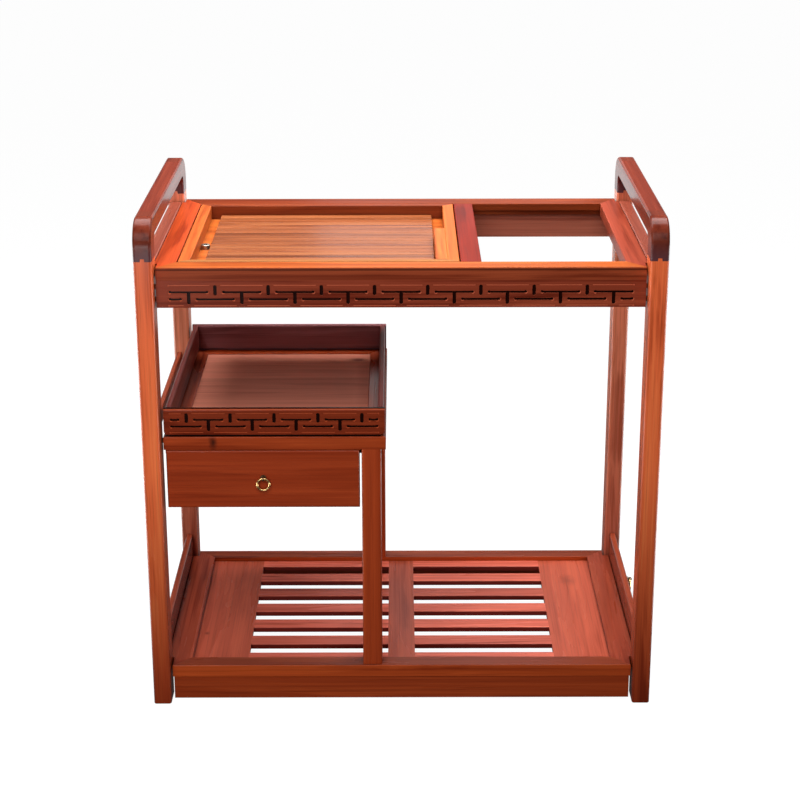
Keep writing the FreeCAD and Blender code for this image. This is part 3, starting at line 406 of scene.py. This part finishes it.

# Name, tone, grain direction, seed, what differs, and the pieces of each family
# Pieces of the same wood carry tones of their own, each matched to how bright that piece looks where it
# stands, so the differences between them are partly the wood's own colour and partly painted light, shade
# and reflection
WOODS = (
    # Both leg woods: the foot tint is painted shade, darker towards the floor
    ("front_leg_wood", (243, 113, 64), "Z", 1, {"foot": (0.40, (0.34, 0.22, 0.18)), "specular": 0.15},
     ("leg_front_left", "leg_front_right")),
    ("back_leg_wood", (232, 130, 96), "Z", 1, {"foot": (0.34, (0.55, 0.45, 0.50)), "specular": 0.2},
     ("leg_back_left", "leg_back_right")),
    ("handle_corner_wood", (104, 41, 26), "Y", 2, {**GLOSSY, "joint": (0.738, 0.768, (0.75, 1.7, 4.2))},
     ("handle_corner_front_left", "handle_corner_front_right", "handle_corner_back_left",
      "handle_corner_back_right")),
    ("handle_bar_wood", (108, 40, 25), "Y", 3, GLOSSY, ("handle_bar_left", "handle_bar_right")),
    ("upper_rail_wood", (156, 76, 58), "Y", 4, {}, ("upper_rail_left", "upper_rail_right")),
    # The top's front rail: its top tint paints light and sheen on its upward face, and its line paints the
    # shadow under the top's edge
    ("top_front_wood", (149, 65, 37), "X", 5,
     {**SATIN, "top": (1.36, 1.6, 0.75), "line": (0.7180, 0.7208, 0.35)},
     ("top_front_rail",)),
    ("top_back_wood", (118, 46, 19), "X", 5, SATIN, ("top_back_rail",)),
    ("top_left_wood", (178, 66, 29), "Y", 6, SATIN, ("top_left_rail",)),
    ("top_right_wood", (150, 62, 42), "Y", 7, SATIN, ("top_right_rail",)),
    ("top_middle_wood", (116, 27, 13), "Y", 8, SATIN, ("top_middle_rail",)),
    ("tray_front_wood", (153, 95, 51), "X", 9, SATIN, ("tray_front_rim",)),
    ("tray_back_wood", (126, 54, 26), "X", 10, SATIN, ("tray_back_rim",)),
    ("tray_end_wood", (186, 91, 41), "Y", 11, SATIN,
     ("tray_left_rim", "tray_right_rim", "tray_side_strip")),
    ("tray_floor_wood", (178, 89, 36), "X", 12, SATIN, ("tray_floor",)),
    ("drain_board_wood", (135, 74, 42), "X", 13, {"plank": ("Y", -0.1805, 0.01771)}, ("drain_slats",)),
    ("drain_bearer_wood", (130, 60, 34), "Y", 14, SATIN, ("drain_bearers",)),
    # Carved boards: pale rims painted as highlights, nearly black floors painted as shade
    ("apron_wood", (139, 58, 37), "X", 15, {"carved": CARVED_FACE, "specular": 0.08, "contrast": 1.15},
     ("front_apron",)),
    ("back_apron_wood", (182, 102, 80), "X", 16, SATIN, ("back_apron",)),
    ("gallery_front_wood", (126, 45, 22), "X", 17, {"carved": CARVED_FACE, "specular": 0.08},
     ("gallery_front",)),
    ("gallery_back_wood", (156, 98, 100), "X", 18, SATIN, ("gallery_back",)),
    ("gallery_end_wood", (130, 62, 56), "Y", 19, SATIN, ("gallery_left", "gallery_right")),
    ("shelf_long_wood", (168, 65, 28), "X", 20, {"knots": (SHELF_EDGE_KNOT,)},
     ("shelf_front_rail", "shelf_back_rail")),
    ("shelf_end_wood", (160, 66, 40), "Y", 21, {}, ("shelf_left_rail", "shelf_right_rail")),
    ("shelf_panel_wood", (222, 136, 112), "X", 22,
     {**MATT, "specular": 0.03, "contrast": 0.45, "plank": ("Y", -0.208, 0.1377),
      "knots": (SHELF_FLOOR_SMUDGE,)},
     ("shelf_panel",)),
    ("drawer_front_wood", (159, 58, 26), "X", 23, {"contrast": 0.8}, ("drawer_front",)),
    ("drawer_inner_wood", (182, 106, 70), "Y", 24, MATT, ("drawer_sides", "drawer_runners")),
    ("drawer_board_wood", (186, 110, 74), "X", 25, MATT, ("drawer_back", "drawer_bottom")),
    ("post_wood", (173, 66, 30), "Z", 26, {}, ("shelf_posts",)),
    ("middle_rail_wood", (160, 70, 44), "Y", 27, {}, ("middle_rail_left",)),
    ("lower_rail_wood", (152, 65, 42), "Y", 28, {}, ("lower_rail_left", "lower_rail_right")),
    # The bottom shelf's long rails: the top tint paints shade on their upward faces
    ("base_long_wood", (184, 74, 31), "X", 29, {"top": (0.52, 0.60, 1.1)},
     ("base_front_rail", "base_back_rail")),
    ("base_end_wood", (150, 63, 42), "Y", 30, {}, ("base_left_rail", "base_right_rail")),
    ("base_apron_wood", (158, 60, 26), "X", 31, {}, ("base_aprons",)),
    ("base_board_wood", (188, 86, 62), "Y", 32,
     {"plank": ("X", -0.348, 0.232), "contrast": 0.6, "knots": (RIGHT_BOARD_BLOTCH, LEFT_BOARD_SPECK)},
     ("base_boards",)),
    # Slats: the dark tone is painted shade on their front faces, and the top tint paints light on their
    # tops
    ("base_slat_wood", (112, 34, 26), "X", 33, {"plank": ("Y", -0.212, 0.0627), "top": (4.3, 8.6, 8.2)},
     ("base_slats",)),
    ("hidden_wood", (150, 84, 54), "Y", 34, MATT, ("tray_cleats", "frame_dowels")),
)

for name, tone, grain, seed, look, names in WOODS:
    finish_nodes(wood(name, linear(tone), grain, seed, look), names)

# Name, tone, roughness, how strong the stains are, and the pieces of each metal
METALS = (
    ("polished_brass", (0.78, 0.52, 0.22), 0.24, 0.7, ("drawer_pull_ring", "rail_pull_ring")),
    ("dark_brass", (0.16, 0.10, 0.055), 0.38, 0.9, ("drawer_pull_eye", "rail_pull_eye")),
    ("worn_steel", (0.50, 0.46, 0.40), 0.34, 1.0, ("drain_outlet",)),
)

for name, tone, rough, stain, names in METALS:
    finish_nodes(metal(name, tone, rough, stain), names)


def floor():
    bpy.ops.mesh.primitive_plane_add(size=FLOOR_SIZE, location=(0.0, 0.0, 0.0))
    plane = bpy.context.object
    plane.name = "studio_floor"
    material, tree, shader = new_material("studio_floor_paper")
    place = add(tree, "ShaderNodeTexCoord").outputs["Object"]
    mottle = noise(tree, place, FLOOR_MOTTLE_SCALE, FLOOR_MOTTLE_DETAIL)
    colour = blended(tree, mottle, FLOOR_TONE, scaled(FLOOR_TONE, FLOOR_MOTTLE_LIFT))
    tree.links.new(colour, shader.inputs["Base Color"])
    shader.inputs["Roughness"].default_value = FLOOR_ROUGHNESS
    shader.inputs["Specular IOR Level"].default_value = 0.0
    shader.inputs["Emission Color"].default_value = (1.0, 1.0, 1.0, 1.0)
    shader.inputs["Emission Strength"].default_value = FLOOR_GLOW
    plane.data.materials.append(material)
    plane.visible_diffuse = False
    plane.visible_glossy = False
    plane.visible_shadow = False


def softbox(name, place, aim, wide, high, power, highlights_only):
    light = bpy.data.lights.new(name, "AREA")
    light.shape = "RECTANGLE"
    light.size = wide
    light.size_y = high
    light.energy = power
    lamp = bpy.data.objects.new(name, light)
    lamp.location = place
    lamp.visible_diffuse = not highlights_only
    turn = (Vector(aim) - Vector(place)).to_track_quat("-Z", "Y")
    lamp.rotation_euler = turn.to_euler()
    bpy.context.scene.collection.objects.link(lamp)


def room():
    world = bpy.data.worlds.new("studio_room")
    world.use_nodes = True
    tree = world.node_tree
    tree.nodes.clear()
    out = add(tree, "ShaderNodeOutputWorld")
    background = add(tree, "ShaderNodeBackground")
    way = add(tree, "ShaderNodeTexCoord").outputs["Generated"]
    parts = add(tree, "ShaderNodeSeparateXYZ", {0: way})
    y, z = parts.outputs["Y"], parts.outputs["Z"]
    sky = spread(tree, z, SKY_HEIGHTS, *SKY_GLOWS)
    behind = spread(tree, y, STRIP_FROM, 0.0, STRIP_GLOW)
    strip = product(tree, behind, spread(tree, z, STRIP_LOW), spread(tree, z, STRIP_HIGH, 1.0, 0.0))
    tree.links.new(maths(tree, "ADD", sky, strip), background.inputs["Strength"])
    tree.links.new(background.outputs[0], out.inputs["Surface"])
    bpy.context.scene.world = world


def camera():
    lens = bpy.data.cameras.new("photo_camera")
    lens.lens = CAMERA_LENS
    lens.sensor_width = CAMERA_SENSOR
    lens.clip_end = CAMERA_REACH
    shot = bpy.data.objects.new("photo_camera", lens)
    turn = Matrix.Rotation(math.radians(-CAMERA_YAW), 4, "Z")
    tip = Matrix.Rotation(math.radians(90.0 - CAMERA_PITCH_DOWN), 4, "X")
    roll = Matrix.Rotation(math.radians(CAMERA_ROLL), 4, "Z")
    shot.matrix_world = Matrix.Translation(CAMERA_PLACE) @ turn @ tip @ roll
    bpy.context.scene.collection.objects.link(shot)
    bpy.context.scene.camera = shot


floor()
room()
for box in SOFTBOXES:
    softbox(*box)
camera()

view = bpy.context.scene.view_settings
view.view_transform = "Standard"
view.look = "None"
view.exposure = 0.0
view.gamma = 1.0

bpy.context.view_layer.update()
